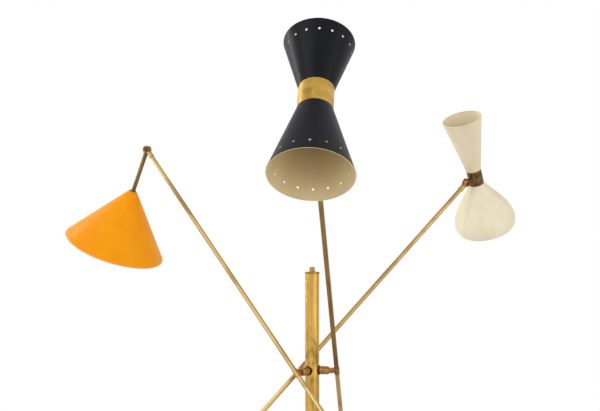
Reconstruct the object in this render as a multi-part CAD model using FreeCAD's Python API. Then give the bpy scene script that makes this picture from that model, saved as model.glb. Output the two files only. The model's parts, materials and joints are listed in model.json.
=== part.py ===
"""Three-arm floor lamp: a brass pole on a marble base carries three pivoted arms with turning shades.

Millimetres, +Z up. The origin is on the floor at the centre of the base. Directions round the pole are
given as an azimuth: 0 points to the front (-Y) and 90 to the right (+X).
"""
import FreeCAD, Part
import math
import os

os.makedirs("parts", exist_ok=True)

# ---------------------------------------------------------------- driving dimensions: stand
BASE_DIAMETER = 300.0
BASE_THICKNESS = 42.0
BASE_EDGE_ROUND = 6.0
BASE_HOLE = 17.0
POCKET_DIAMETER = 64.0
POCKET_DEPTH = 20.0
PAD_THICKNESS = 3.0
PAD_INSET = 8.0
NUT_ACROSS = 27.0
NUT_THICKNESS = 8.0
WASHER_DIAMETER = 44.0
WASHER_THICKNESS = 2.5
COLLAR_DIAMETER = 64.0
COLLAR_HEIGHT = 16.0
COLLAR_RIM = 4.0
COLLAR_BEVEL = 2.0
COLLAR_NECK = 8.0
COLLAR_NECK_WALL = 4.0
COLLAR_EDGE = 1.0
PLUG_HEIGHT = 45.0
PLUG_THREAD = 16.0
PLUG_BORE = 8.5
THREAD_PROUD = 1.5
POLE_DIAMETER = 28.0
POLE_WALL = 1.5
POLE_ABOVE_PIVOTS = 190.3
CAP_DIAMETER = 29.2
CAP_THICKNESS = 3.5
CAP_SPIGOT = 12.0
FINIAL_DIAMETER = 11.0
FINIAL_HEIGHT = 10.2
FINIAL_THREAD = 5.0
FINIAL_SEAT = 5.0
FINIAL_CROWN = 2.0
POLE_CABLE = 7.0
LEAD_CABLE = 3.0
GLAND_BODY = 11.0
GLAND_FLANGE = 16.0
GLAND_FLANGE_THICKNESS = 3.0
GLAND_LENGTH = 26.0
GLAND_BORE = 6.6
GLAND_HEIGHT = 14.5

# ---------------------------------------------------------------- driving dimensions: pivots
PIVOT_HEIGHT = 1190.0
PIVOT_REACH = 49.0
FIRST_AZIMUTH = -39.0
RING_DIAMETER = 18.5
RING_THICKNESS = 1.6
POST_DIAMETER = 16.0
POST_LENGTH = 18.0
POST_CHAMFER = 1.8
NIPPLE_DIAMETER = 11.0
NIPPLE_INNER_END = 7.5
PIVOT_NUT_DIAMETER = 15.0
SPINDLE_DIAMETER = 8.0
SPINDLE_BORE = 4.0
NECK_DIAMETER = 9.6
NECK_RING_DIAMETER = 12.6
NECK_RING_WIDTH = 1.6
NECK_RING_SPACING = 5.0
TEE_WALL = 0.9
TEE_LENGTH = 17.5
TEE_EDGE = 0.5
TEE_SPIGOT = 6.0
GRUB_DIAMETER = 3.0
GRUB_SUNK = 0.6
GROOVE_DEPTH = 0.8

# ---------------------------------------------------------------- driving dimensions: arms
ARM_DIAMETER = 9.0
ARM_WALL = 1.0
ARM_FULL_LENGTH = 1040.0
TUBE_SEAT = 3.5
ARM_CABLE = 3.4
COUNTERWEIGHT_DIAMETER = 24.0
COUNTERWEIGHT_NOSE = 14.0
COUNTERWEIGHT_LENGTH = 62.0
COUNTERWEIGHT_SOCKET = 24.0
FERRULE_WALL = 1.0
FERRULE_LENGTH = 11.4
FERRULE_LIP = 2.6
FLANGE_THICKNESS = 1.5
SPIGOT_DIAMETER = 6.8
SPIGOT_BORE = 4.2
EYE_DIAMETER = 16.5
EYE_PROUD = 0.3
NECK_START = 8.8
SWIVEL_BODY = 3.8
KNUCKLE_SCREW = 5.0
SCREW_SLOT = 1.0
SCREW_HEAD_DIAMETER = 9.0
SCREW_HEAD_THICKNESS = 1.8
KNUCKLE_TAPER = 12.0

# ---------------------------------------------------------------- driving dimensions: orange head
ORANGE_STEM_DIAMETER = 9.6
ORANGE_STEM_LENGTH = 104.0
ORANGE_TOP_DIAMETER = 19.0
ORANGE_RIM_DIAMETER = 232.0
ORANGE_DEPTH = 139.5
ORANGE_WALL = 1.2
ORANGE_RIM_BEAD = 1.3
ORANGE_NUT_DIAMETER = 14.0
ORANGE_NUT_THICKNESS = 3.0
ORANGE_NUT_BEVEL = 1.5
ORANGE_STEM_SEAT = 6.0
ORANGE_HOLDER_DIAMETER = 29.0
ORANGE_HOLDER_NECK = 14.0
ORANGE_HOLDER_DROP = 12.0
ORANGE_HOLDER_LENGTH = 36.0
ORANGE_GLOBE = 60.0

# ---------------------------------------------------------------- driving dimensions: black head
BLACK_OFFSET = 42.0
BLACK_BAND_DIAMETER = 57.0
BLACK_BAND_HEIGHT = 43.4
BLACK_BAND_WALL = 1.5
BLACK_UPPER_RIM = 117.0
BLACK_UPPER_DEPTH = 97.4
BLACK_LOWER_RIM = 132.6
BLACK_LOWER_DEPTH = 123.1
BLACK_WALL = 1.2
BLACK_RIM_BEAD = 0.9
BLACK_HOLES = 16
BLACK_HOLE_DIAMETER = 4.0
BLACK_HOLE_INSET = 17.0
BLACK_UPPER_TURN = 5.0
BLACK_LOWER_TURN = -2.2
BLACK_HOLDER_DIAMETER = 30.0
BLACK_HOLDER_LENGTH = 36.0
BLACK_GLOBE = 45.0
CROSS_BAR_WIDTH = 16.0
CROSS_BAR_THICKNESS = 3.0

# ---------------------------------------------------------------- driving dimensions: cream head
CREAM_OFFSET = 29.5
CREAM_BAND_DIAMETER = 33.0
CREAM_BAND_HEIGHT = 35.0
CREAM_BAND_WALL = 1.2
CREAM_UPPER_RIM = 85.0
CREAM_UPPER_DEPTH = 123.0
CREAM_WALL = 1.0
CREAM_RIM_BEAD = 0.9
CREAM_BELL_DEPTH = 112.0
CREAM_BELL_FLARE_DIAMETER = 75.0
CREAM_BELL_FLARE_AT = 30.0
CREAM_BELL_SHOULDER_DIAMETER = 122.0
CREAM_BELL_SHOULDER_AT = 68.0
CREAM_BELL_WIDEST = 136.0
CREAM_BELL_WIDEST_AT = 95.0
CREAM_BELL_MOUTH = 126.0
CREAM_HOLDER_LENGTH = 32.0
CREAM_HOLDER_START = 8.0
CREAM_CANDLE = 32.0
CREAM_GLOBE = 45.0

# ---------------------------------------------------------------- driving dimensions: shade fixings
NECK_SLEEVE = 8.0
BAND_EDGE = 0.6
STUD_DIAMETER = 6.0
STUD_SHOULDER = 9.0
STUD_STEP = 0.4
STUD_NUT_DIAMETER = 11.0
STUD_NUT_THICKNESS = 2.8
HOLDER_EDGE = 1.5
BULB_CAP_DIAMETER = 14.0
BULB_CAP_LENGTH = 22.0
BULB_FOOT_DIAMETER = 18.0
BULB_NECK = 9.0
BULB_SINK = 4.0
CANDLE_RISE = 16.0
CANDLE_POINT = 28.0
CANDLE_TIP_RATIO = 0.4

# ---------------------------------------------------------------- clearances
RUNNING_FIT = 0.05
SLIDE_FIT = 0.1
LOOSE_FIT = 0.3
FACE_GAP = 0.2

# Each arm: its colour name, how far it reaches above its pivot, how far it leans from upright, the turn of
# its knuckle round the arm and the bend of its knuckle, in the pose of the photograph.
ARMS = (
    {"name": "orange", "reach": 633.0, "lean": 43.8, "turn": 2.0, "bend": 111.0},
    {"name": "black", "reach": 570.0, "lean": 36.1, "turn": 35.5, "bend": 24.3},
    {"name": "cream", "reach": 541.0, "lean": 45.5, "turn": 34.8, "bend": 18.5},
)
BLACK_SET_ANGLE = -31.4
CREAM_SET_ANGLE = -16.1

# ---------------------------------------------------------------- dependent sizes
BASE_TOP = PAD_THICKNESS + BASE_THICKNESS
POLE_TOP = PIVOT_HEIGHT + POLE_ABOVE_PIVOTS
POLE_RADIUS = POLE_DIAMETER / 2
POLE_BORE = POLE_RADIUS - POLE_WALL
RING_OUTER_END = POLE_RADIUS + RING_THICKNESS
POST_END = RING_OUTER_END + POST_LENGTH
TEE_DIAMETER = ARM_DIAMETER + 2 * TEE_WALL
TEE_SIDE = PIVOT_REACH - TEE_DIAMETER / 2
ARM_BORE = ARM_DIAMETER - 2 * ARM_WALL
FERRULE_DIAMETER = ARM_DIAMETER + 2 * FERRULE_WALL
EYE_WIDTH = FERRULE_DIAMETER + 2 * EYE_PROUD
SWIVEL_END = NECK_START + SWIVEL_BODY
FERRULE_TOP = SWIVEL_END + FACE_GAP
FERRULE_BOTTOM = FERRULE_TOP + FERRULE_LENGTH
LIP_END = FERRULE_TOP + FERRULE_LIP
FLANGE_TOP = LIP_END + FACE_GAP / 2
FLANGE_BOTTOM = FLANGE_TOP + FLANGE_THICKNESS
TUBE_TOP = FLANGE_BOTTOM + FACE_GAP

X = FreeCAD.Vector(1, 0, 0)
Y = FreeCAD.Vector(0, 1, 0)
Z = FreeCAD.Vector(0, 0, 1)


# ---------------------------------------------------------------- small helpers
def along(axis, distance):
    return FreeCAD.Vector(axis).multiply(distance)


def rod(diameter, start, end, axis=Z, bore=0.0):
    """A round bar or tube on the given axis, from start to end."""
    bar = Part.makeCylinder(diameter / 2, end - start, along(axis, start), axis)
    if bore:
        bar = bar.cut(Part.makeCylinder(bore / 2, end - start + 2, along(axis, start - 1), axis))
    return bar


def taper(start_diameter, end_diameter, start, end, axis=Z):
    return Part.makeCone(start_diameter / 2, end_diameter / 2, end - start, along(axis, start), axis)


def turned(points):
    """A solid of revolution about Z from (radius, height) corners."""
    corners = [FreeCAD.Vector(radius, 0, height) for radius, height in points]
    outline = Part.makePolygon(corners + corners[:1])
    return Part.Face(outline).revolve(FreeCAD.Vector(), Z, 360)


def turned_outline(edges):
    """A solid of revolution about Z from a closed list of edges in the XZ plane."""
    return Part.Face(Part.Wire(edges)).revolve(FreeCAD.Vector(), Z, 360)


def fused(*solids):
    whole = solids[0].fuse(list(solids[1:])) if len(solids) > 1 else solids[0]
    return whole.removeSplitter()


def hexagon(across, start, end, bore):
    corner = across / math.sqrt(3)
    points = [
        FreeCAD.Rotation(Z, 60 * number).multVec(FreeCAD.Vector(corner, 0, start)) for number in range(7)
    ]
    prism = Part.Face(Part.makePolygon(points)).extrude(FreeCAD.Vector(0, 0, end - start))
    return prism.cut(rod(bore, start - 1, end + 1))


def placed(shape, placement):
    moved = shape.copy()
    moved.Placement = placement.multiply(moved.Placement)
    return moved


def save(name, *shapes):
    """Writes one node. Several separate solids of one node go into one file."""
    solids = [solid for shape in shapes for solid in shape.Solids]
    whole = solids[0] if len(solids) == 1 else Part.makeCompound(solids)
    whole.exportStep(os.path.join("parts", name + ".step"))


# ---------------------------------------------------------------- frames
def pivot_frame(index, height=PIVOT_HEIGHT):
    """Local X points out of the pole along the pivot's axis."""
    azimuth = FIRST_AZIMUTH + 120 * index
    return FreeCAD.Placement(FreeCAD.Vector(0, 0, height), FreeCAD.Rotation(Z, azimuth - 90))


def arm_frame(index):
    """Local X is the pivot's axis and local Z runs up the leaning arm from the pivot."""
    lean = FreeCAD.Placement(along(X, PIVOT_REACH), FreeCAD.Rotation(X, ARMS[index]["lean"]))
    return pivot_frame(index).multiply(lean)


def swivel_frame(index):
    """At the knuckle, with local X the knuckle's axis and local Z still along the arm."""
    turn = FreeCAD.Placement(along(Z, ARMS[index]["reach"]), FreeCAD.Rotation(Z, ARMS[index]["turn"]))
    return arm_frame(index).multiply(turn)


def head_frame(index):
    """At the knuckle, with local Z pointing to the shade."""
    bend = FreeCAD.Placement(FreeCAD.Vector(), FreeCAD.Rotation(X, ARMS[index]["bend"]))
    return swivel_frame(index).multiply(bend)


def shade_frame(index, offset, set_angle):
    """At the middle of a band, with local Z the shade's axis and local X pointing away from the knuckle."""
    across = FreeCAD.Placement(along(Z, offset), FreeCAD.Rotation(Z, X, Y, "XYZ"))
    turn = FreeCAD.Placement(FreeCAD.Vector(), FreeCAD.Rotation(X, set_angle))
    return head_frame(index).multiply(across).multiply(turn)


# ---------------------------------------------------------------- stand
def make_base():
    radius = BASE_DIAMETER / 2
    pocket_top = PAD_THICKNESS + POCKET_DEPTH
    slab = rod(BASE_DIAMETER, PAD_THICKNESS, BASE_TOP)
    top_edges = [edge for edge in slab.Edges if edge.BoundBox.ZMin > BASE_TOP - BASE_EDGE_ROUND]
    slab = slab.makeFillet(BASE_EDGE_ROUND, top_edges)
    slab = slab.cut(rod(BASE_HOLE, PAD_THICKNESS, BASE_TOP + 1))
    slab = slab.cut(rod(POCKET_DIAMETER, PAD_THICKNESS - 1, pocket_top))
    gland_hole = Part.makeCylinder(GLAND_BODY / 2, radius + 1, FreeCAD.Vector(0, 0, GLAND_HEIGHT), Y)
    save("base_weight", slab.cut(gland_hole))
    save("base_felt_pad", rod(BASE_DIAMETER - 2 * PAD_INSET, 0, PAD_THICKNESS))

    washer_bottom = pocket_top - WASHER_THICKNESS
    nut_bottom = washer_bottom - NUT_THICKNESS
    washer = rod(WASHER_DIAMETER, washer_bottom, pocket_top, bore=PLUG_THREAD + 2 * SLIDE_FIT)
    save("base_nut_and_washer", hexagon(NUT_ACROSS, nut_bottom, washer_bottom, PLUG_THREAD), washer)

    plug_diameter = 2 * (POLE_BORE - SLIDE_FIT / 2)
    plug = fused(
        rod(plug_diameter, BASE_TOP, BASE_TOP + PLUG_HEIGHT),
        rod(PLUG_THREAD, nut_bottom - THREAD_PROUD, BASE_TOP + 1),
    )
    save("foot_plug", plug.cut(rod(PLUG_BORE, 0, BASE_TOP + PLUG_HEIGHT + 1)))

    bore = POLE_RADIUS + SLIDE_FIT / 2
    foot = COLLAR_DIAMETER / 2
    neck = POLE_RADIUS + COLLAR_NECK_WALL
    collar_top = BASE_TOP + COLLAR_HEIGHT
    save("foot_collar", turned((
        (bore, BASE_TOP), (foot, BASE_TOP), (foot, BASE_TOP + COLLAR_RIM),
        (foot - COLLAR_BEVEL, BASE_TOP + COLLAR_RIM + COLLAR_BEVEL),
        (neck + COLLAR_BEVEL, collar_top - COLLAR_NECK), (neck, collar_top - COLLAR_NECK + COLLAR_BEVEL),
        (neck, collar_top - COLLAR_EDGE), (neck - COLLAR_EDGE, collar_top), (bore, collar_top),
    )))

    gland = fused(
        rod(GLAND_BODY - SLIDE_FIT, radius - GLAND_LENGTH, radius, axis=Y),
        rod(GLAND_FLANGE, radius, radius + GLAND_FLANGE_THICKNESS, axis=Y),
    )
    gland = gland.cut(rod(GLAND_BORE, radius - GLAND_LENGTH - 1, radius + GLAND_FLANGE_THICKNESS + 1, axis=Y))
    save("cord_gland", placed(gland, FreeCAD.Placement(along(Z, GLAND_HEIGHT), FreeCAD.Rotation())))


def make_pole():
    tube = rod(POLE_DIAMETER, BASE_TOP, POLE_TOP, bore=2 * POLE_BORE)
    cable = rod(POLE_CABLE, PAD_THICKNESS + FACE_GAP, PIVOT_HEIGHT + POLE_CABLE / 2)
    for index in range(len(ARMS)):
        frame = pivot_frame(index)
        tube = tube.cut(placed(rod(NIPPLE_DIAMETER, 0, POLE_DIAMETER, axis=X), frame))
        cable = cable.fuse(placed(rod(LEAD_CABLE, 0, TEE_SIDE, axis=X), frame))
    save("pole_tube", tube)
    save("pole_cable", cable.removeSplitter())

    cap = fused(
        rod(2 * (POLE_BORE - SLIDE_FIT / 2), POLE_TOP - CAP_SPIGOT, POLE_TOP),
        rod(CAP_DIAMETER, POLE_TOP, POLE_TOP + CAP_THICKNESS),
    )
    cap_top = POLE_TOP + CAP_THICKNESS
    save("pole_cap", cap.cut(rod(FINIAL_THREAD, cap_top - FINIAL_SEAT - FACE_GAP, cap_top + 1)))
    ball = (FINIAL_DIAMETER ** 2 / 4 + FINIAL_CROWN ** 2) / (2 * FINIAL_CROWN)
    finial_top = cap_top + FINIAL_HEIGHT
    crown = Part.makeSphere(ball, FreeCAD.Vector(0, 0, finial_top - ball))
    finial = rod(FINIAL_DIAMETER, cap_top, finial_top).common(crown)
    save("pole_finial", fused(finial, rod(FINIAL_THREAD, cap_top - FINIAL_SEAT, cap_top + 1)))


def make_pivot_fixings():
    """What is fixed to the pole at each pivot: ring, post with its nipple, nut and grub screw."""
    pole = rod(POLE_DIAMETER, -POLE_DIAMETER, POLE_DIAMETER)
    pole_inside = rod(2 * (POLE_BORE - SLIDE_FIT / 2), -POLE_DIAMETER, POLE_DIAMETER)
    bore = SPINDLE_DIAMETER + 2 * RUNNING_FIT
    grub_at = RING_OUTER_END + POST_LENGTH / 2
    grub_hole = Part.makeCylinder(
        GRUB_DIAMETER / 2, POST_DIAMETER, FreeCAD.Vector(grub_at, 0, -POST_DIAMETER), Z)

    ring = rod(RING_DIAMETER, 0, RING_OUTER_END, axis=X, bore=NIPPLE_DIAMETER).cut(pole)
    post = fused(
        rod(POST_DIAMETER, RING_OUTER_END, POST_END - POST_CHAMFER, axis=X),
        taper(POST_DIAMETER, POST_DIAMETER - 2 * POST_CHAMFER, POST_END - POST_CHAMFER, POST_END, axis=X),
        rod(NIPPLE_DIAMETER, NIPPLE_INNER_END, RING_OUTER_END + 1, axis=X),
    )
    post = post.cut(rod(bore, 0, POST_END + 1, axis=X)).cut(grub_hole)
    nut = rod(PIVOT_NUT_DIAMETER, NIPPLE_INNER_END + LOOSE_FIT, POLE_RADIUS, axis=X, bore=NIPPLE_DIAMETER)
    nut = nut.common(pole_inside)
    tip = SPINDLE_DIAMETER / 2 - GROOVE_DEPTH + FACE_GAP
    grub = Part.makeCylinder(
        GRUB_DIAMETER / 2, POST_DIAMETER / 2 - GRUB_SUNK - tip,
        FreeCAD.Vector(grub_at, 0, GRUB_SUNK - POST_DIAMETER / 2), Z)
    for name, piece in (
        ("pivot_rings", ring), ("pivot_posts", post), ("pivot_nuts", nut), ("pivot_grub_screws", grub),
    ):
        save(name, *[placed(piece, pivot_frame(index)) for index in range(len(ARMS))])


# ---------------------------------------------------------------- arms
def make_arm(index):
    arm = ARMS[index]
    name = arm["name"]
    frame = pivot_frame(index).multiply(FreeCAD.Placement(FreeCAD.Vector(), FreeCAD.Rotation(X, arm["lean"])))
    grub_at = RING_OUTER_END + POST_LENGTH / 2
    half_groove = GRUB_DIAMETER / 2 + SLIDE_FIT
    neck_start = POST_END + FACE_GAP
    second_ring = neck_start + NECK_RING_SPACING
    beside = FreeCAD.Placement(along(X, PIVOT_REACH), FreeCAD.Rotation())
    half_tee = TEE_LENGTH / 2

    def across(diameter, start, end, bore=0.0):
        return placed(rod(diameter, start, end, bore=bore), beside)

    spindle = fused(
        rod(SPINDLE_DIAMETER, NIPPLE_INNER_END, neck_start + 1, axis=X),
        rod(NECK_DIAMETER, neck_start, PIVOT_REACH, axis=X),
        rod(NECK_RING_DIAMETER, neck_start, neck_start + NECK_RING_WIDTH, axis=X),
        rod(NECK_RING_DIAMETER, second_ring, second_ring + NECK_RING_WIDTH, axis=X),
    ).cut(across(TEE_DIAMETER, -TEE_LENGTH, TEE_LENGTH))
    spigot = rod(TEE_SPIGOT, TEE_SIDE - 1, PIVOT_REACH, axis=X).cut(across(ARM_BORE, -TEE_LENGTH, TEE_LENGTH))
    groove = rod(
        SPINDLE_DIAMETER + 2, grub_at - half_groove, grub_at + half_groove, axis=X,
        bore=SPINDLE_DIAMETER - 2 * GROOVE_DEPTH)
    spindle = fused(spindle, spigot).cut(groove).cut(rod(SPINDLE_BORE, 0, PIVOT_REACH, axis=X))
    save(name + "_arm_spindle", placed(spindle, frame))

    edge = TEE_DIAMETER - 2 * TEE_EDGE
    tee = fused(
        placed(taper(edge, TEE_DIAMETER, -half_tee, TEE_EDGE - half_tee), beside),
        across(TEE_DIAMETER, TEE_EDGE - half_tee, half_tee - TEE_EDGE),
        placed(taper(TEE_DIAMETER, edge, half_tee - TEE_EDGE, half_tee), beside),
    )
    tee = tee.cut(rod(TEE_SPIGOT, 0, PIVOT_REACH, axis=X)).cut(across(ARM_BORE, -TEE_LENGTH, TEE_LENGTH))
    for start, end in ((TUBE_SEAT, TEE_LENGTH), (-TEE_LENGTH, -TUBE_SEAT)):
        tee = tee.cut(across(ARM_DIAMETER, start, end))
    save(name + "_arm_tee", placed(tee, frame))

    at_arm = arm_frame(index)
    tube_end = arm["reach"] - TUBE_TOP
    lower_end = arm["reach"] - ARM_FULL_LENGTH
    save(name + "_upper_tube", placed(rod(ARM_DIAMETER, TUBE_SEAT, tube_end, bore=ARM_BORE), at_arm))
    save(name + "_lower_tube", placed(rod(ARM_DIAMETER, lower_end, -TUBE_SEAT, bore=ARM_BORE), at_arm))
    cable_end = arm["reach"] - FLANGE_BOTTOM + 1
    save(name + "_arm_cable", placed(rod(ARM_CABLE, -ARM_CABLE / 2, cable_end), at_arm))
    save(name + "_counterweight", placed(make_counterweight(lower_end), at_arm))

    top = arm["reach"]
    ferrule = rod(FERRULE_DIAMETER, top - FERRULE_BOTTOM, top - FERRULE_TOP)
    ferrule = ferrule.cut(rod(ARM_DIAMETER, top - FERRULE_BOTTOM - 1, top - LIP_END))
    ferrule = ferrule.cut(rod(SPIGOT_DIAMETER + 2 * RUNNING_FIT, top - LIP_END - 1, top))
    save(name + "_end_ferrule", placed(ferrule, at_arm))


def make_counterweight(lower_end):
    """A turned weight on the arm's lower end: a round-nosed drop with a socket for the tube."""
    radius = COUNTERWEIGHT_DIAMETER / 2
    nose = COUNTERWEIGHT_NOSE / 2
    top = lower_end + COUNTERWEIGHT_SOCKET
    bottom = top - COUNTERWEIGHT_LENGTH
    diagonal = radius * math.sqrt(0.5)
    weight = turned_outline((
        Part.makeLine((0, 0, bottom), (0, 0, top)),
        Part.makeLine((0, 0, top), (nose, 0, top)),
        Part.makeLine((nose, 0, top), (radius, 0, bottom + radius)),
        Part.Arc(
            FreeCAD.Vector(radius, 0, bottom + radius),
            FreeCAD.Vector(diagonal, 0, bottom + radius - diagonal),
            FreeCAD.Vector(0, 0, bottom),
        ).toShape(),
    ))
    return weight.cut(rod(ARM_DIAMETER, lower_end, top + 1))


# ---------------------------------------------------------------- knuckles
def knuckle_half(side, body_diameter, body_end):
    """Half of a knuckle in its own frame: eye on X, body along +Z. side is +1 or -1 along X.

    Up to the start of the other half's body, everything over the middle plane is cut away.
    """
    eye = rod(EYE_DIAMETER, -EYE_WIDTH / 2, EYE_WIDTH / 2, axis=X)
    whole = fused(eye, rod(body_diameter, 0, body_end))
    middle = side * FACE_GAP / 2
    over_start = middle - EYE_WIDTH if side > 0 else middle
    other_side = Part.makeBox(
        EYE_WIDTH, 2 * EYE_DIAMETER, EYE_DIAMETER + NECK_START,
        FreeCAD.Vector(over_start, -EYE_DIAMETER, -EYE_DIAMETER))
    return whole.cut(other_side).cut(rod(KNUCKLE_SCREW + 2 * RUNNING_FIT, -EYE_WIDTH, EYE_WIDTH, axis=X))


def make_swivel(index):
    """The half of the knuckle that turns on the end of the arm, and the screw through both halves."""
    name = ARMS[index]["name"]
    upside_down = FreeCAD.Placement(FreeCAD.Vector(), FreeCAD.Rotation(X, 180))
    half = placed(knuckle_half(-1, FERRULE_DIAMETER, SWIVEL_END), upside_down)
    spigot = fused(
        rod(SPIGOT_DIAMETER, -FLANGE_BOTTOM, -SWIVEL_END + 1),
        rod(ARM_DIAMETER - 2 * SLIDE_FIT, -FLANGE_BOTTOM, -FLANGE_TOP),
    )
    half = fused(half, spigot).cut(rod(SPIGOT_BORE, -FLANGE_BOTTOM - 1, -NECK_START - 1))
    save(name + "_swivel", placed(half, swivel_frame(index)))

    width = EYE_WIDTH / 2 + FACE_GAP / 4
    screw = fused(
        rod(KNUCKLE_SCREW, -width, width + SCREW_SLOT / 2, axis=X),
        rod(SCREW_HEAD_DIAMETER, width, width + SCREW_HEAD_THICKNESS, axis=X),
    )
    slot = Part.makeBox(SCREW_SLOT, 2 * SCREW_HEAD_DIAMETER, SCREW_SLOT, FreeCAD.Vector(
        width + SCREW_HEAD_THICKNESS - SCREW_SLOT / 2, -SCREW_HEAD_DIAMETER, -SCREW_SLOT / 2))
    nut = rod(SCREW_HEAD_DIAMETER, -width - SCREW_HEAD_THICKNESS, -width, axis=X)
    save(name + "_knuckle_screw", placed(fused(screw, nut).cut(slot), swivel_frame(index)))


def head_half(stem_diameter, stem_end):
    """The head's half of a knuckle with its taper and stem."""
    taper_end = NECK_START + KNUCKLE_TAPER
    return fused(
        knuckle_half(1, FERRULE_DIAMETER, NECK_START + 1),
        taper(FERRULE_DIAMETER, stem_diameter, NECK_START + 1, taper_end),
        rod(stem_diameter, taper_end, stem_end),
    )


def head_stud(offset, band_radius, band_wall, set_angle):
    """The head's half of a knuckle whose shouldered stud goes through the wall of a band."""
    band_axis = FreeCAD.Rotation(Z, set_angle).multVec(Y)
    nut_end = offset - band_radius + band_wall + FACE_GAP + STUD_NUT_THICKNESS
    band_room = Part.makeCylinder(
        band_radius, 4 * STUD_SHOULDER, along(Z, offset) - along(band_axis, 2 * STUD_SHOULDER), band_axis)
    shank = rod(STUD_DIAMETER, NECK_START, nut_end)
    body = rod(STUD_SHOULDER, NECK_START, offset).cut(band_room)
    return fused(knuckle_half(1, FERRULE_DIAMETER, NECK_START + STUD_STEP), body, shank)


# ---------------------------------------------------------------- lampholders and bulbs
def lampholder(diameter, start, length):
    """A holder along +Z whose socket for the bulb's cap opens at its far end."""
    end = start + length
    body = fused(
        rod(diameter, start, end - HOLDER_EDGE),
        taper(diameter, diameter - 2 * HOLDER_EDGE, end - HOLDER_EDGE, end),
    )
    return body.cut(rod(BULB_CAP_DIAMETER + 2 * LOOSE_FIT, end - BULB_CAP_LENGTH, end + 1))


def bulb_cap(holder_end):
    """The cap in its socket, with the wider foot of the bulb just clear of the holder."""
    return (
        rod(BULB_CAP_DIAMETER, holder_end - BULB_CAP_LENGTH + FACE_GAP, holder_end + 1),
        rod(BULB_FOOT_DIAMETER, holder_end + FACE_GAP, holder_end + BULB_NECK),
    )


def globe_bulb(holder_end, globe):
    centre = holder_end + BULB_NECK + globe / 2 - BULB_SINK
    return fused(*bulb_cap(holder_end), Part.makeSphere(globe / 2, FreeCAD.Vector(0, 0, centre)))


def candle_bulb(holder_end, diameter):
    """A slim bulb with a swelling body and a blunt pointed end."""
    foot = holder_end + BULB_NECK - 1
    belly = foot + CANDLE_RISE
    tip = belly + CANDLE_POINT
    return fused(
        *bulb_cap(holder_end),
        taper(BULB_FOOT_DIAMETER, diameter, foot, belly),
        taper(diameter, diameter * CANDLE_TIP_RATIO, belly, tip),
    )


def both_ways(shape, upward=True):
    """The shape, or its copy turned end for end along Z."""
    if upward:
        return shape
    return placed(shape, FreeCAD.Placement(FreeCAD.Vector(), FreeCAD.Rotation(X, 180)))


# ---------------------------------------------------------------- heads
def make_orange_head(index):
    frame = head_frame(index)
    top = ORANGE_STEM_LENGTH
    rim = top + ORANGE_DEPTH
    top_radius = ORANGE_TOP_DIAMETER / 2
    rim_radius = ORANGE_RIM_DIAMETER / 2
    slope = math.atan2(rim_radius - top_radius, ORANGE_DEPTH)
    wall_across = ORANGE_WALL / math.cos(slope)
    stem = ORANGE_STEM_DIAMETER / 2
    inner_top = top_radius - wall_across + ORANGE_WALL * math.tan(slope)
    cone = turned((
        (stem, top), (top_radius, top), (rim_radius, rim), (rim_radius - wall_across, rim),
        (inner_top, top + ORANGE_WALL), (stem, top + ORANGE_WALL),
    ))
    bead = Part.makeTorus(rim_radius - ORANGE_RIM_BEAD, ORANGE_RIM_BEAD, along(Z, rim))
    save("orange_shade", placed(fused(cone, bead), frame))

    neck_start = top + ORANGE_WALL
    stem_end = neck_start + ORANGE_STEM_SEAT
    save("orange_stem", placed(head_half(ORANGE_STEM_DIAMETER, stem_end), frame))
    nut = ORANGE_NUT_DIAMETER / 2
    save("orange_lock_nut", placed(turned((
        (stem, top - ORANGE_NUT_THICKNESS), (nut - ORANGE_NUT_BEVEL, top - ORANGE_NUT_THICKNESS),
        (nut, top - ORANGE_NUT_THICKNESS + ORANGE_NUT_BEVEL), (nut, top), (stem, top),
    )), frame))

    holder_start = top + ORANGE_HOLDER_DROP
    holder = fused(
        lampholder(ORANGE_HOLDER_DIAMETER, holder_start, ORANGE_HOLDER_LENGTH),
        rod(ORANGE_HOLDER_NECK, neck_start, holder_start + 1),
    )
    holder = holder.cut(rod(ORANGE_STEM_DIAMETER, top, stem_end))
    save("orange_lampholder", placed(holder, frame))
    save("orange_bulb", placed(globe_bulb(holder_start + ORANGE_HOLDER_LENGTH, ORANGE_GLOBE), frame))


def band_ring(diameter, height, wall):
    """A band with softened edges, pierced on its -X side for the stud."""
    radius = diameter / 2
    half = height / 2
    soft = BAND_EDGE
    ring = turned((
        (radius - wall, -half), (radius - soft, -half), (radius, -half + soft),
        (radius, half - soft), (radius - soft, half), (radius - wall, half),
    ))
    return ring.cut(Part.makeCylinder(STUD_DIAMETER / 2, radius, FreeCAD.Vector(), -X))


def stud_nut(band_radius, band_wall):
    """The nut inside a band, cut to the band's curve."""
    inside = band_radius - band_wall - FACE_GAP / 2
    nut = rod(STUD_NUT_DIAMETER, -inside - 1, -inside + STUD_NUT_THICKNESS, axis=X, bore=STUD_DIAMETER)
    return nut.common(rod(2 * inside, -STUD_NUT_DIAMETER, STUD_NUT_DIAMETER))


def sleeve(band_radius, band_wall, wall, half_height):
    """Corners of a shade's neck where it slips into its band, from inside to outside."""
    outer = band_radius - band_wall - SLIDE_FIT
    start = half_height - NECK_SLEEVE
    return (outer - wall, start), (outer, start), (outer, half_height)


def cone_shade(band_diameter, band_wall, half_height, rim_diameter, depth, wall, bead):
    """A cone that opens along +Z from a band, with a sleeve inside the band and a rolled rim."""
    band_radius = band_diameter / 2
    rim_radius = rim_diameter / 2
    rim = half_height + depth
    slope = math.atan2(rim_radius - band_radius, depth)
    across = wall / math.cos(slope)
    inside, outside, corner = sleeve(band_radius, band_wall, wall, half_height)
    cone = turned((
        inside, outside, corner, (band_radius, half_height), (rim_radius, rim), (rim_radius - across, rim),
        (inside[0], half_height + wall),
    ))
    return fused(cone, Part.makeTorus(rim_radius - bead, bead, along(Z, rim)))


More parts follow.
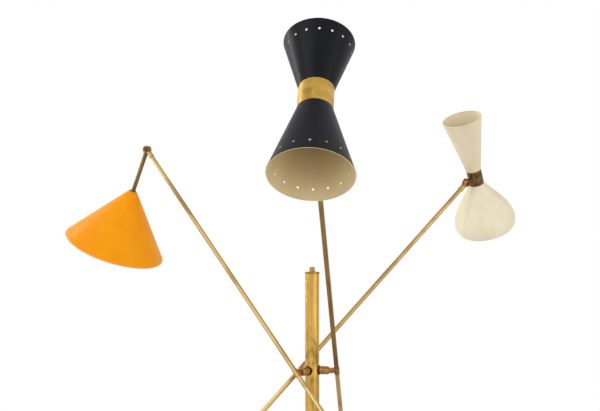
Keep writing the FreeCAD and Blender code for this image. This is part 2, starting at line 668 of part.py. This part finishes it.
def pierced(shade, half_height, rim_diameter, depth, turn):
    """The shade with its ring of small holes a little inside the rim, turned round its axis by some degrees."""
    height = half_height + depth - BLACK_HOLE_INSET
    for number in range(BLACK_HOLES):
        angle = math.radians(360 * (number + 0.5) / BLACK_HOLES + turn)
        outward = FreeCAD.Vector(math.cos(angle), math.sin(angle), 0)
        shade = shade.cut(Part.makeCylinder(BLACK_HOLE_DIAMETER / 2, rim_diameter, along(Z, height), outward))
    return shade


def make_black_head(index):
    frame = shade_frame(index, BLACK_OFFSET, BLACK_SET_ANGLE)
    radius = BLACK_BAND_DIAMETER / 2
    half = BLACK_BAND_HEIGHT / 2
    stud = head_stud(BLACK_OFFSET, radius, BLACK_BAND_WALL, BLACK_SET_ANGLE)
    save("black_stud", placed(stud, head_frame(index)))
    save("black_band", placed(band_ring(BLACK_BAND_DIAMETER, BLACK_BAND_HEIGHT, BLACK_BAND_WALL), frame))
    for name, rim, depth, turn, upward in (
        ("black_upper_shade", BLACK_UPPER_RIM, BLACK_UPPER_DEPTH, BLACK_UPPER_TURN, True),
        ("black_lower_shade", BLACK_LOWER_RIM, BLACK_LOWER_DEPTH, BLACK_LOWER_TURN, False),
    ):
        shade = cone_shade(
            BLACK_BAND_DIAMETER, BLACK_BAND_WALL, half, rim, depth, BLACK_WALL, BLACK_RIM_BEAD)
        shade = pierced(shade, half, rim, depth, turn)
        save(name, placed(both_ways(shade, upward), frame))

    inside = radius - BLACK_BAND_WALL - SLIDE_FIT
    bar = Part.makeBox(
        CROSS_BAR_WIDTH, 2 * radius, CROSS_BAR_THICKNESS,
        FreeCAD.Vector(-CROSS_BAR_WIDTH / 2, -radius, -CROSS_BAR_THICKNESS / 2))
    bar = bar.common(rod(2 * inside, -half, half)).cut(rod(STUD_DIAMETER, -half, half))
    nut = stud_nut(radius, BLACK_BAND_WALL)
    save("black_cross_bar", placed(bar, frame), placed(nut, frame))

    start = CROSS_BAR_THICKNESS / 2
    holder = lampholder(BLACK_HOLDER_DIAMETER, start, BLACK_HOLDER_LENGTH)
    bulb = globe_bulb(start + BLACK_HOLDER_LENGTH, BLACK_GLOBE)
    save("black_lampholders", *[placed(both_ways(holder, up), frame) for up in (True, False)])
    save("black_bulbs", *[placed(both_ways(bulb, up), frame) for up in (True, False)])


def bell_shade():
    """The cream lower shade, opening along +Z: a quick flare, a full shoulder and a drawn-in mouth."""
    radius = CREAM_BAND_DIAMETER / 2
    half = CREAM_BAND_HEIGHT / 2
    inside, outside, corner = sleeve(radius, CREAM_BAND_WALL, CREAM_WALL, half)
    mouth = CREAM_BELL_MOUTH / 2
    mouth_at = half + CREAM_BELL_DEPTH
    shoulders = (
        (CREAM_BELL_FLARE_DIAMETER / 2, half + CREAM_BELL_FLARE_AT),
        (CREAM_BELL_SHOULDER_DIAMETER / 2, half + CREAM_BELL_SHOULDER_AT),
        (CREAM_BELL_WIDEST / 2, half + CREAM_BELL_WIDEST_AT),
    )

    def curve(start, wall):
        points = [FreeCAD.Vector(start, 0, half)]
        points += [FreeCAD.Vector(across - wall, 0, height) for across, height in shoulders]
        points.append(FreeCAD.Vector(mouth - wall, 0, mouth_at))
        line = Part.BSplineCurve()
        line.interpolate(points)
        return line.toShape()

    def line(start, end):
        return Part.makeLine((start[0], 0, start[1]), (end[0], 0, end[1]))

    shade = turned_outline((
        line((inside[0], half), inside), line(inside, outside), line(outside, corner),
        line(corner, (radius, half)), curve(radius, 0.0),
        line((mouth, mouth_at), (mouth - CREAM_WALL, mouth_at)), curve(inside[0], CREAM_WALL),
    ))
    return fused(shade, Part.makeTorus(mouth - CREAM_RIM_BEAD, CREAM_RIM_BEAD, along(Z, mouth_at)))


def make_cream_head(index):
    frame = shade_frame(index, CREAM_OFFSET, CREAM_SET_ANGLE)
    radius = CREAM_BAND_DIAMETER / 2
    half = CREAM_BAND_HEIGHT / 2
    stud = head_stud(CREAM_OFFSET, radius, CREAM_BAND_WALL, CREAM_SET_ANGLE)
    save("cream_stud", placed(stud, head_frame(index)))
    save("cream_stud_nut", placed(stud_nut(radius, CREAM_BAND_WALL), frame))
    save("cream_band", placed(band_ring(CREAM_BAND_DIAMETER, CREAM_BAND_HEIGHT, CREAM_BAND_WALL), frame))
    upper = cone_shade(
        CREAM_BAND_DIAMETER, CREAM_BAND_WALL, half, CREAM_UPPER_RIM, CREAM_UPPER_DEPTH, CREAM_WALL,
        CREAM_RIM_BEAD)
    save("cream_upper_shade", placed(upper, frame))
    save("cream_lower_shade", placed(both_ways(bell_shade(), False), frame))

    diameter = 2 * (radius - CREAM_BAND_WALL - SLIDE_FIT - CREAM_WALL - LOOSE_FIT)
    end = CREAM_HOLDER_START + CREAM_HOLDER_LENGTH
    holder = lampholder(diameter, CREAM_HOLDER_START, CREAM_HOLDER_LENGTH)
    candle = candle_bulb(end, CREAM_CANDLE)
    globe = both_ways(globe_bulb(end, CREAM_GLOBE), False)
    save("cream_lampholders", *[placed(both_ways(holder, up), frame) for up in (True, False)])
    save("cream_bulbs", placed(candle, frame), placed(globe, frame))


def main():
    make_base()
    make_pole()
    make_pivot_fixings()
    for index in range(len(ARMS)):
        make_arm(index)
        make_swivel(index)
    make_orange_head(0)
    make_black_head(1)
    make_cream_head(2)


main()
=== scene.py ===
import json
import math
import bpy
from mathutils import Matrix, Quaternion, Vector

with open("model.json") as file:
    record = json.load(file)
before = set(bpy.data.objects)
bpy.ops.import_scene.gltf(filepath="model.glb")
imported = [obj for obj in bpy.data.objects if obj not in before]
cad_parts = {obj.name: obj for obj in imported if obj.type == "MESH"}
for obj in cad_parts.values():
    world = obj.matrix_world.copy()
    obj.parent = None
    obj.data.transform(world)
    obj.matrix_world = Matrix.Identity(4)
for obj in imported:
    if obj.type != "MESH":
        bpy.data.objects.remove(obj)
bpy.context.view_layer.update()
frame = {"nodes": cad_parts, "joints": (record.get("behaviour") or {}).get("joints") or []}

nodes = frame["nodes"]
joints = {joint["name"]: joint for joint in frame["joints"]}
scene = bpy.context.scene

# Shade angles and offsets of the photographed pose, in degrees and metres
ORANGE_BEND = 111.0
BLACK_BEND = 24.3
BLACK_SET = -31.4
BLACK_OFFSET = 0.042
CREAM_BEND = 18.5
CREAM_SET = -16.1
CREAM_OFFSET = 0.0295
PIVOT_HEIGHT = 1.190
# Distance of each shade's rim from its knuckle or from the middle of its band, in metres
ORANGE_LIP = 0.2435
BLACK_UPPER_LIP = 0.1191
BLACK_LOWER_LIP = 0.1448
CREAM_UPPER_LIP = 0.1405
CREAM_LOWER_LIP = 0.1295

# Metals: roughness, how far streaks and wear change it, and the depth of the brushing in metres
METAL_ROUGHNESS = 0.38
ROUGHNESS_SPREAD = 0.06
WORN_ROUGHNESS = 0.12
BRUSH_DEPTH = 0.0001
BRUSH_STRENGTH = 0.12
# Noise scales, in cells per metre: across the brushing, along it, and of the patches
STREAK_ACROSS = 180.0
STREAK_ALONG = 9.0
ARM_STREAK = 260.0
PATCH_SCALE = 14.0
SMALL_PATCH = 70.0
PATCH_STRETCH = 0.55
# Ranges of noise over which one tone passes into the next
STREAK_RANGE = (0.32, 0.68)
ROUGH_RANGE = (0.3, 0.7)
WEAR_RANGE = (0.50, 0.74)
SPECK_RANGE = (0.63, 0.75)
METAL_SPECKS = (500.0, 500.0, 400.0)
SPECK_SHARE = 0.12
# The pole's own noise scales in cells per metre, and its bands and wear
POLE_STREAKS = (130.0, 130.0, 5.0)
POLE_BANDS = (60.0, 60.0, 2.5)
POLE_PATCHES = (26.0, 26.0, 11.0)
POLE_SPECKS = (420.0, 420.0, 300.0)
POLE_BAND_RANGE = (0.46, 0.66)
POLE_BAND_SHARE = 0.55
POLE_WEAR_RANGE = (0.55, 0.76)
POLE_WEAR_SHARE = 0.85
POLE_SPECK_SHARE = 0.1
# The darker brown patch round the pivots: its half height in metres and how much it adds to the patches
PIVOT_PATCH = 0.11
PIVOT_DARKENING = 0.13

# Enamels: cloud, peel and mark scales in cells per metre, and spinning rings in radians per metre
CLOUD_ACROSS = 34.0
CLOUD_ALONG = 7.0
PEEL_SCALE = 240.0
MARK_SCALE = 150.0
SPIN_RINGS = 2600.0
RING_SHARE = 0.08
ENAMEL_SPREAD = 0.05
COAT_ROUGHNESS = 0.32
PEEL_STRENGTH = 0.05
PEEL_DEPTH = 0.0001
# The inner paint covers the rim's edge over this depth in metres, where it faces out by less than this share
RIM_START = 0.004
RIM_FULL = 0.003
RIM_FACING = 0.6
# Where the painted shade inside a shade starts to lighten towards its rim, as a share of the shade's length
SHADE_FADE_START = 0.4
CLOUD_RANGE = (0.35, 0.65)
CLOUD_SHARE = 0.3
MARK_RANGE = (0.70, 0.80)
MARK_SHARE = 0.3

# Plain surfaces, marble and felt
PLAIN_CLOUD = 25.0
PLAIN_GRAIN_RANGE = (0.35, 0.65)
PLAIN_CLOUD_RANGE = (0.45, 0.75)
PLAIN_CLOUD_SHARE = 0.4
PLAIN_DEPTH = 0.0003
MARBLE_CLOUD = 9.0
MARBLE_DRIFT = (4.5, 7.0, 7.0)
MARBLE_FINE = 380.0
VEIN_MIDDLE = 0.5
VEIN_HALF_WIDTH = 0.018
VEIN_SHARE = 0.75
FINE_RANGE = (0.62, 0.78)
FINE_SHARE = 0.25
MARBLE_ROUGHNESS = (0.28, 0.38)
MARBLE_BUMP = 0.06
MARBLE_DEPTH = 0.0002
FELT_FIBRES = (700.0, 700.0, 260.0)
FELT_ROUGHNESS = 0.95
FELT_SHEEN = 0.3
FELT_BUMP = 0.8
FELT_DEPTH = 0.0006

WORLD_LIGHT = 0.6
FLOOR_SIZE = 5.0
FLOOR_DROP = 0.0005
FLOOR_GREY = 0.86
FLOOR_ROUGHNESS = 0.7

# The camera, fitted to the photograph: pixels, metres and degrees
IMAGE_WIDTH = 600
FOCAL_PIXELS = 851.7
SENSOR_WIDTH = 36.0
CAMERA_PLACE = (-0.023, -1.6927, 1.4864)
CAMERA_TILT = 90.99
CAMERA_YAW = 0.04
FAR_CLIP = 50


def tone(red, green, blue):
    """A colour given in screen values from 0 to 255, as linear light."""
    def linear(value):
        share = value / 255
        return share / 12.92 if share <= 0.04045 else ((share + 0.055) / 1.055) ** 2.4
    return linear(red), linear(green), linear(blue)


# ------------------------------------------------------------------ node helpers
class Mat:
    """A material whose nodes are added by short calls."""

    def __init__(self, name):
        self.mat = bpy.data.materials.new(name)
        self.mat.use_nodes = True
        self.tree = self.mat.node_tree
        self.bsdf = self.tree.nodes["Principled BSDF"]
        source = self.tree.nodes.new("ShaderNodeTexCoord")
        self.coords = source.outputs["Object"]
        self.facing = source.outputs["Normal"]

    def put(self, socket, value):
        if isinstance(value, bpy.types.NodeSocket):
            self.tree.links.new(value, socket)
        elif isinstance(value, (tuple, list)) and len(value) == 3 and socket.type == "RGBA":
            socket.default_value = (*value, 1.0)
        else:
            socket.default_value = value

    def mapped(self, scale, axis=None):
        """Object coordinates, turned so that Z runs along axis, then scaled."""
        vector = self.coords
        if axis is not None:
            turn = self.tree.nodes.new("ShaderNodeVectorRotate")
            turn.rotation_type = "EULER_XYZ"
            turn.invert = True
            self.put(turn.inputs["Rotation"], Vector(axis).to_track_quat("Z", "Y").to_euler())
            self.put(turn.inputs["Vector"], vector)
            vector = turn.outputs["Vector"]
        place = self.tree.nodes.new("ShaderNodeMapping")
        self.put(place.inputs["Scale"], scale)
        self.put(place.inputs["Vector"], vector)
        return place.outputs["Vector"]

    def noise(self, vector, detail, rough, distort=0.0):
        n = self.tree.nodes.new("ShaderNodeTexNoise")
        for key, value in (("Vector", vector), ("Scale", 1.0), ("Detail", detail), ("Roughness", rough),
                           ("Distortion", distort)):
            self.put(n.inputs[key], value)
        return n.outputs["Fac"]

    def grain(self, scale, detail, rough, distort=0.0):
        """Noise of the same scale in all directions."""
        return self.noise(self.mapped((scale, scale, scale)), detail, rough, distort)

    def ramp(self, value, stops):
        n = self.tree.nodes.new("ShaderNodeValToRGB")
        ramp = n.color_ramp
        while len(ramp.elements) < len(stops):
            ramp.elements.new(0.5)
        for element, (place, colour) in zip(ramp.elements, stops):
            element.position = place
            element.color = (*colour, 1.0)
        self.put(n.inputs["Fac"], value)
        return n.outputs["Color"]

    def mix(self, factor, a, b):
        n = self.tree.nodes.new("ShaderNodeMix")
        n.data_type = "RGBA"
        for socket, value in ((n.inputs[0], factor), (n.inputs[6], a), (n.inputs[7], b)):
            self.put(socket, value)
        return n.outputs[2]

    def math(self, kind, a, b=0.0):
        n = self.tree.nodes.new("ShaderNodeMath")
        n.operation = kind
        self.put(n.inputs[0], a)
        self.put(n.inputs[1], b)
        return n.outputs[0]

    def vector(self, kind, a, b=(0, 0, 0), scale=1.0):
        n = self.tree.nodes.new("ShaderNodeVectorMath")
        n.operation = kind
        self.put(n.inputs[0], a)
        if kind == "SCALE":
            self.put(n.inputs["Scale"], scale)
        else:
            self.put(n.inputs[1], b)
        return n.outputs["Value" if kind in ("DOT_PRODUCT", "LENGTH") else "Vector"]

    def span(self, value, low, high, to_low=0.0, to_high=1.0):
        n = self.tree.nodes.new("ShaderNodeMapRange")
        n.clamp = True
        for index, number in enumerate((value, low, high, to_low, to_high)):
            self.put(n.inputs[index], number)
        return n.outputs[0]

    def bump(self, height, strength, distance):
        n = self.tree.nodes.new("ShaderNodeBump")
        for key, value in (("Height", height), ("Strength", strength), ("Distance", distance)):
            self.put(n.inputs[key], value)
        return n.outputs["Normal"]

    def along(self, centre, axis):
        """Distance along an axis from a centre, and the vector from that axis out to the surface."""
        out = self.vector("SUBTRACT", self.coords, tuple(centre))
        distance = self.vector("DOT_PRODUCT", out, tuple(axis))
        on_axis = self.vector("SCALE", tuple(axis), scale=distance)
        return distance, self.vector("SUBTRACT", out, on_axis)

    def set(self, **sockets):
        for key, value in sockets.items():
            self.put(self.bsdf.inputs[key.replace("_", " ")], value)
        return self.mat


def paint(material, *node_names):
    for node_name in node_names:
        mesh = nodes[node_name].data
        mesh.materials.clear()
        mesh.materials.append(material)


# ------------------------------------------------------------------ materials
def brushed(m, base, streaks, worn, brush):
    """Metal that is rougher in its streaks and where it is worn, with fine brushing."""
    smooth = METAL_ROUGHNESS - ROUGHNESS_SPREAD
    coarse = METAL_ROUGHNESS + ROUGHNESS_SPREAD
    streaky = m.span(streaks, *ROUGH_RANGE, smooth, coarse)
    roughness = m.math("ADD", streaky, m.math("MULTIPLY", worn, WORN_ROUGHNESS))
    brushing = m.bump(streaks, brush, BRUSH_DEPTH)
    return m.set(Base_Color=base, Metallic=1.0, Roughness=roughness, Normal=brushing)


def aged_metal(name, axis, dark, middle, light, streak=STREAK_ACROSS, patch=PATCH_SCALE,
               brush=BRUSH_STRENGTH):
    """Brushed metal with patina: long streaks along its axis, soft patches and fine specks."""
    m = Mat(name)
    streaks = m.noise(m.mapped((streak, streak, STREAK_ALONG), axis), 3.0, 0.5)
    patches = m.noise(m.mapped((patch, patch, patch * PATCH_STRETCH), axis), 3.0, 0.6, 0.6)
    specks = m.noise(m.mapped(METAL_SPECKS), 2.0, 0.5)
    base = m.ramp(streaks, ((STREAK_RANGE[0], middle), (STREAK_RANGE[1], light)))
    worn = m.span(patches, *WEAR_RANGE)
    base = m.mix(worn, base, dark)
    base = m.mix(m.span(specks, *SPECK_RANGE, 0.0, SPECK_SHARE), base, dark)
    return brushed(m, base, streaks, worn, brush)


def enamel(name, low, high, rough, head, lip, lining, speck, specular, coat):
    """Painted spun sheet: clouding, orange peel, faint spinning rings, small marks, and another paint inside.

    The inner paint also covers the edge of the rim, which lies at lip along the head's axis.
    """
    m = Mat(name)
    centre, axis = head
    shaded_lining, lit_lining = lining
    distance, outward = m.along(centre, axis)
    cloud = m.noise(m.mapped((CLOUD_ACROSS, CLOUD_ACROSS, CLOUD_ALONG), axis), 4.0, 0.6, 0.3)
    peel = m.grain(PEEL_SCALE, 1.0, 0.4)
    marks = m.grain(MARK_SCALE, 3.0, 0.65)
    base = m.ramp(cloud, ((CLOUD_RANGE[0], low), (CLOUD_RANGE[1], high)))
    base = m.mix(m.span(marks, *MARK_RANGE, 0.0, MARK_SHARE), base, speck)
    facing_out = m.vector("DOT_PRODUCT", outward, m.facing)
    at_rim = m.span(distance, lip - RIM_START, lip - RIM_FULL, 0.0, RIM_FACING)
    edge = m.math("MULTIPLY", m.vector("LENGTH", outward), at_rim)
    inside = m.math("LESS_THAN", facing_out, edge)
    # Painted shade: the inner paint is darker far inside the shade and lighter towards the rim
    inner = m.mix(m.span(distance, lip * SHADE_FADE_START, lip), shaded_lining, lit_lining)
    inner = m.mix(m.span(cloud, *CLOUD_RANGE, 0.0, CLOUD_SHARE), inner, shaded_lining)
    base = m.mix(inside, base, inner)
    rings = m.math("SINE", m.math("MULTIPLY", distance, SPIN_RINGS))
    height = m.math("ADD", peel, m.math("MULTIPLY", rings, RING_SHARE))
    roughness = m.span(cloud, *ROUGH_RANGE, rough - ENAMEL_SPREAD, rough + ENAMEL_SPREAD)
    return m.set(Base_Color=base, Roughness=roughness, Specular_IOR_Level=specular, Coat_Weight=coat,
                 Coat_Roughness=COAT_ROUGHNESS, Normal=m.bump(height, PEEL_STRENGTH, PEEL_DEPTH))


def plain(name, low, high, rough, scale, bump, metallic=0.0):
    """A moulded, plated or woven surface with fine grain."""
    m = Mat(name)
    grain = m.grain(scale, 4.0, 0.6)
    cloud = m.grain(PLAIN_CLOUD, 3.0, 0.5)
    base = m.mix(m.span(grain, *PLAIN_GRAIN_RANGE), low, high)
    base = m.mix(m.span(cloud, *PLAIN_CLOUD_RANGE, 0.0, PLAIN_CLOUD_SHARE), base, low)
    roughness = m.span(cloud, *ROUGH_RANGE, rough - ROUGHNESS_SPREAD, rough + ROUGHNESS_SPREAD)
    return m.set(Base_Color=base, Metallic=metallic, Roughness=roughness,
                 Normal=m.bump(grain, bump, PLAIN_DEPTH))


def marble(name):
    """Honed pale stone with soft grey clouds and thin veins."""
    m = Mat(name)
    cloud = m.grain(MARBLE_CLOUD, 6.0, 0.6, 0.8)
    drift = m.noise(m.mapped(MARBLE_DRIFT), 8.0, 0.62, 1.6)
    fine = m.grain(MARBLE_FINE, 3.0, 0.6)
    vein = m.math("ABSOLUTE", m.math("SUBTRACT", drift, VEIN_MIDDLE))
    base = m.ramp(cloud, ((0.30, tone(206, 203, 197)), (0.62, tone(238, 236, 231))))
    base = m.mix(m.span(vein, 0.0, VEIN_HALF_WIDTH, VEIN_SHARE, 0.0), base, tone(128, 126, 122))
    base = m.mix(m.span(fine, *FINE_RANGE, 0.0, FINE_SHARE), base, tone(176, 172, 164))
    return m.set(Base_Color=base, Roughness=m.span(cloud, *ROUGH_RANGE, *MARBLE_ROUGHNESS),
                 Normal=m.bump(fine, MARBLE_BUMP, MARBLE_DEPTH))


def felt(name):
    """Dense dark felt with short fibres."""
    m = Mat(name)
    fibres = m.noise(m.mapped(FELT_FIBRES), 5.0, 0.7, 1.2)
    base = m.ramp(fibres, ((0.3, tone(30, 38, 32)), (0.7, tone(62, 74, 64))))
    return m.set(Base_Color=base, Roughness=FELT_ROUGHNESS, Sheen_Weight=FELT_SHEEN,
                 Normal=m.bump(fibres, FELT_BUMP, FELT_DEPTH))


def head_axis(name, bend, offset=0.0, set_angle=None):
    """Centre and axis of a head's shade, from the joints of its knuckle."""
    tilt = joints[name + "_head_tilt"]
    across = Vector(tilt["axis"])
    out = Quaternion(across, math.radians(bend)) @ Vector(joints[name + "_swivel_turn"]["axis"])
    centre = Vector(tilt["pos_m"]) + out * offset
    if set_angle is None:
        return centre, out
    return centre, Quaternion(out, math.radians(set_angle)) @ out.cross(across)


UP = Vector((0, 0, 1))
orange_head = head_axis("orange", ORANGE_BEND)
black_head = head_axis("black", BLACK_BEND, BLACK_OFFSET, BLACK_SET)
cream_head = head_axis("cream", CREAM_BEND, CREAM_OFFSET, CREAM_SET)

PATINA = tone(112, 78, 34)
BRONZE = tone(62, 40, 22)


def pole_brass():
    """The pole's brass: broad streaks, a brown patch round the pivots and fine brushing."""
    m = Mat("pole_brass")
    streaks = m.noise(m.mapped(POLE_STREAKS), 3.0, 0.5)
    bands = m.noise(m.mapped(POLE_BANDS), 2.0, 0.5, 0.4)
    patches = m.noise(m.mapped(POLE_PATCHES), 4.0, 0.65, 0.8)
    specks = m.noise(m.mapped(POLE_SPECKS), 2.0, 0.5)
    base = m.ramp(streaks, ((STREAK_RANGE[0], tone(176, 136, 62)), (STREAK_RANGE[1], tone(216, 180, 94))))
    base = m.mix(m.span(bands, *POLE_BAND_RANGE, 0.0, POLE_BAND_SHARE), base, tone(158, 116, 52))
    # The pole is made darker brown near the pivots
    height, _ = m.along((0, 0, PIVOT_HEIGHT), UP)
    near = m.span(m.math("ABSOLUTE", height), 0.0, PIVOT_PATCH, PIVOT_DARKENING, 0.0)
    worn = m.span(m.math("ADD", patches, near), *POLE_WEAR_RANGE, 0.0, POLE_WEAR_SHARE)
    base = m.mix(worn, base, PATINA)
    base = m.mix(m.span(specks, *SPECK_RANGE, 0.0, POLE_SPECK_SHARE), base, PATINA)
    return brushed(m, base, streaks, worn, BRUSH_STRENGTH)


paint(pole_brass(), "pole_tube")
paint(aged_metal("cap_brass", UP, PATINA, tone(122, 90, 44), tone(160, 126, 66), patch=40.0),
      "pole_cap", "foot_collar")
paint(aged_metal("finial_brass", UP, BRONZE, tone(140, 104, 54), tone(186, 148, 84), patch=60.0),
      "pole_finial")
paint(aged_metal("ring_bronze", UP, tone(30, 18, 10), tone(58, 36, 18), tone(86, 56, 30)), "pivot_rings")
paint(aged_metal("post_brass", UP, tone(96, 62, 30), tone(146, 104, 56), tone(182, 136, 80),
                 patch=SMALL_PATCH), "pivot_posts")

# Each arm's worn tone, then the dark and light tones of its upper tube and of its lower tube
ARM_TONES = {
    "orange": (tone(142, 114, 66), tone(168, 140, 84), tone(194, 167, 106), tone(172, 144, 88),
               tone(204, 176, 114)),
    "black": (tone(108, 80, 44), tone(130, 100, 56), tone(166, 132, 80), tone(174, 143, 90),
              tone(208, 178, 122)),
    "cream": (tone(108, 80, 44), tone(162, 130, 78), tone(192, 160, 100), tone(178, 146, 88),
              tone(214, 184, 120)),
}
for arm, (worn, upper_low, upper_high, lower_low, lower_high) in ARM_TONES.items():
    axis = Vector(joints[arm + "_swivel_turn"]["axis"])
    upper = aged_metal(arm + "_upper_brass", axis, worn, upper_low, upper_high, streak=ARM_STREAK)
    lower = aged_metal(arm + "_lower_brass", axis, tone(124, 94, 50), lower_low, lower_high,
                       streak=ARM_STREAK)
    copper = aged_metal(arm + "_copper", axis, tone(88, 56, 32), tone(142, 96, 56), tone(176, 126, 78),
                        patch=SMALL_PATCH)
    tee = copper
    if arm == "orange":
        tee = aged_metal("orange_tee_brass", axis, tone(112, 76, 42), tone(160, 122, 72), tone(194, 156, 98))
    screw = aged_metal(arm + "_screw", axis, BRONZE, tone(96, 64, 38), tone(136, 98, 60))
    paint(upper, arm + "_upper_tube", arm + "_end_ferrule")
    paint(lower, arm + "_lower_tube", arm + "_counterweight")
    paint(copper, arm + "_arm_spindle", arm + "_swivel")
    paint(tee, arm + "_arm_tee")
    paint(screw, arm + "_knuckle_screw")

stem = aged_metal("stem_bronze", orange_head[1], tone(80, 58, 34), tone(112, 88, 56), tone(150, 124, 84))
paint(stem, "orange_stem", "orange_lock_nut")
paint(aged_metal("stud_copper", UP, tone(56, 36, 22), tone(100, 70, 44), tone(136, 100, 66),
                 patch=SMALL_PATCH), "black_stud", "cream_stud")
paint(aged_metal("band_brass", black_head[1].orthogonal(), tone(134, 94, 36), tone(176, 138, 60),
                 tone(202, 168, 84), streak=40.0, patch=34.0, brush=0.04), "black_band")
paint(aged_metal("band_bronze", cream_head[1].orthogonal(), tone(62, 44, 26), tone(100, 76, 46),
                 tone(126, 98, 62), streak=60.0, patch=50.0, brush=0.05), "cream_band")

paint(enamel("orange_paint", tone(252, 154, 4), tone(255, 164, 10), rough=0.45, head=orange_head,
             lip=ORANGE_LIP, lining=(tone(232, 218, 188), tone(246, 236, 212)), speck=tone(180, 92, 14),
             specular=0.08, coat=0.08), "orange_shade")
for name, sign, lip in (
        ("black_upper_shade", 1, BLACK_UPPER_LIP),
        ("black_lower_shade", -1, BLACK_LOWER_LIP)):
    paint(enamel(name + "_paint", tone(8, 9, 15), tone(15, 16, 21), rough=0.42,
                 head=(black_head[0], black_head[1] * sign), lip=lip,
                 lining=(tone(192, 170, 128), tone(224, 205, 160)), speck=tone(60, 56, 50),
                 specular=0.03, coat=0.2), name)
for name, sign, lip, low, high in (
        ("cream_upper_shade", 1, CREAM_UPPER_LIP, tone(222, 208, 172), tone(232, 219, 187)),
        ("cream_lower_shade", -1, CREAM_LOWER_LIP, tone(230, 217, 184), tone(242, 231, 203))):
    paint(enamel(name + "_paint", low, high, rough=0.42, head=(cream_head[0], cream_head[1] * sign),
                 lip=lip, lining=(tone(222, 207, 172), tone(242, 230, 200)), speck=tone(176, 150, 108),
                 specular=0.25, coat=0.1), name)

paint(marble("honed_marble"), "base_weight")
paint(felt("green_felt"), "base_felt_pad")
paint(plain("zinc_plate", tone(150, 152, 156), tone(186, 188, 190), rough=0.38, scale=260.0, bump=0.15,
            metallic=1.0),
      "base_nut_and_washer", "foot_plug", "pivot_nuts", "pivot_grub_screws", "black_cross_bar",
      "cream_stud_nut")
paint(plain("phenolic", tone(26, 23, 21), tone(38, 34, 31), rough=0.42, scale=420.0, bump=0.2),
      "orange_lampholder", "black_lampholders", "cream_lampholders", "cord_gland")
paint(plain("cable_sheath", tone(32, 28, 24), tone(46, 40, 34), rough=0.55, scale=500.0, bump=0.4),
      "pole_cable", *[arm + "_arm_cable" for arm in ARM_TONES])
paint(plain("opal", tone(238, 235, 226), tone(246, 244, 238), rough=0.3, scale=120.0, bump=0.03),
      "orange_bulb", "black_bulbs", "cream_bulbs")

# ------------------------------------------------------------------ stage
# The background is white to the camera and in reflections, and lights the object more softly
world = bpy.data.worlds.new("studio")
scene.world = world
world.use_nodes = True
tree = world.node_tree
background = tree.nodes["Background"]
background.inputs["Color"].default_value = (1, 1, 1, 1)
path = tree.nodes.new("ShaderNodeLightPath")
shown = tree.nodes.new("ShaderNodeMath")
shown.operation = "MAXIMUM"
tree.links.new(path.outputs["Is Camera Ray"], shown.inputs[0])
tree.links.new(path.outputs["Is Glossy Ray"], shown.inputs[1])
level = tree.nodes.new("ShaderNodeMapRange")
level.inputs["To Min"].default_value = WORLD_LIGHT
level.inputs["To Max"].default_value = 1.0
tree.links.new(shown.outputs[0], level.inputs["Value"])
tree.links.new(level.outputs["Result"], background.inputs["Strength"])

bpy.ops.mesh.primitive_plane_add(size=FLOOR_SIZE, location=(0, 0, -FLOOR_DROP))
floor = bpy.context.object
floor.name = "floor"
floor.data.materials.append(Mat("floor_paint").set(Base_Color=(FLOOR_GREY,) * 3, Roughness=FLOOR_ROUGHNESS))


def area(name, location, target, width, height, power):
    """A rectangular lamp that faces a target: metres and watts."""
    data = bpy.data.lights.new(name, "AREA")
    data.shape = "RECTANGLE"
    data.size = width
    data.size_y = height
    data.energy = power
    lamp = bpy.data.objects.new(name, data)
    scene.collection.objects.link(lamp)
    lamp.location = location
    lamp.rotation_euler = (Vector(target) - Vector(location)).to_track_quat("-Z", "Y").to_euler()


area("key", (-2.4, -2.4, 2.8), (0, 0, 1.4), width=3.0, height=3.0, power=45)
area("fill", (2.6, -2.2, 1.8), (0, 0, 1.2), width=2.6, height=2.6, power=33)
area("side", (-2.5, 1.2, 2.1), (0, 0, 1.7), width=0.6, height=2.2, power=28)

# ------------------------------------------------------------------ camera
camera_data = bpy.data.cameras.new("camera")
camera = bpy.data.objects.new("camera", camera_data)
scene.collection.objects.link(camera)
camera_data.sensor_width = SENSOR_WIDTH
camera_data.lens = FOCAL_PIXELS / IMAGE_WIDTH * SENSOR_WIDTH
camera.location = CAMERA_PLACE
camera.rotation_euler = (math.radians(CAMERA_TILT), 0, math.radians(CAMERA_YAW))
camera_data.clip_end = FAR_CLIP
scene.camera = camera

scene.view_settings.view_transform = "Standard"
